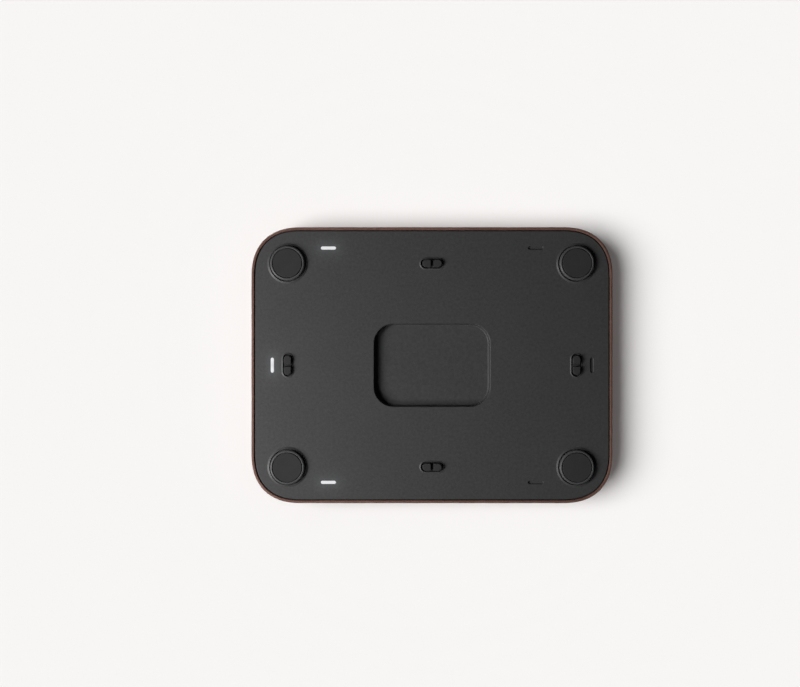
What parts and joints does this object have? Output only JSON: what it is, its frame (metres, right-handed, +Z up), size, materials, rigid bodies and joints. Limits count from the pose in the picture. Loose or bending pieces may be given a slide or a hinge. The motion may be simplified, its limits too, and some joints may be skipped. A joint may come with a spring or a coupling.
{
  "type": "charging station organizer",
  "caption": "Leather-wrapped rectangular charging tray on round feet, its moulded base with a cable bay, USB-C sockets, cable clips and lit windows.",
  "frame": {"origin": "on the floor under the middle of the tray, in the plane of the foot pads", "axes": "+Z up out of the tray, +X along the length to the right, -Y towards the front; the lit windows and the sockets are on the -X side"},
  "size_m": [0.28, 0.214, 0.028],
  "materials": {
    "tub_plastic": "moulded, unpainted",
    "wrap_leather": "fine pebbled grain, satin",
    "pad_leather": "fine pebbled grain, satin",
    "base_plastic": "spark-textured matt",
    "foot_plastic": "spark-textured matt, rounded rim",
    "foot_rubber": "smooth matt",
    "clip_rubber": "smooth matt",
    "window_frost": "frosted, lit from behind",
    "board_green": "solder mask",
    "chip_black": "moulded epoxy and ferrite",
    "socket_steel": "drawn shell",
    "coil_copper": "enamelled copper winding",
    "ferrite": "sintered sheet",
    "magnet": "nickel plated",
    "lead_film": "polyimide film",
    "screw_steel": "zinc plated"
  },
  "bodies": {
    "root": {"tray_tub": "tub_plastic", "leather_wrap": "wrap_leather", "floor_pad": "pad_leather", "base_cover": "base_plastic", "foot_cup_front_left": "foot_plastic", "foot_cup_front_right": "foot_plastic", "foot_cup_rear_left": "foot_plastic", "foot_cup_rear_right": "foot_plastic", "foot_pad_front_left": "foot_rubber", "foot_pad_front_right": "foot_rubber", "foot_pad_rear_left": "foot_rubber", "foot_pad_rear_right": "foot_rubber", "cable_clip_front": "clip_rubber", "cable_clip_rear": "clip_rubber", "cable_clip_left": "clip_rubber", "cable_clip_right": "clip_rubber", "light_window_front": "window_frost", "light_window_rear": "window_frost", "light_window_left": "window_frost", "light_board_front": "board_green", "light_board_rear": "board_green", "light_board_left": "board_green", "main_board": "board_green", "board_parts": "chip_black", "usb_c_output": "socket_steel", "usb_c_input": "socket_steel", "phone_coil": "coil_copper", "phone_ferrite": "ferrite", "phone_magnets": "magnet", "bud_coil": "coil_copper", "bud_ferrite": "ferrite", "coil_leads": "lead_film", "light_leads": "lead_film", "cover_screws": "screw_steel", "board_screws": "screw_steel"}
  },
  "joints": []
}
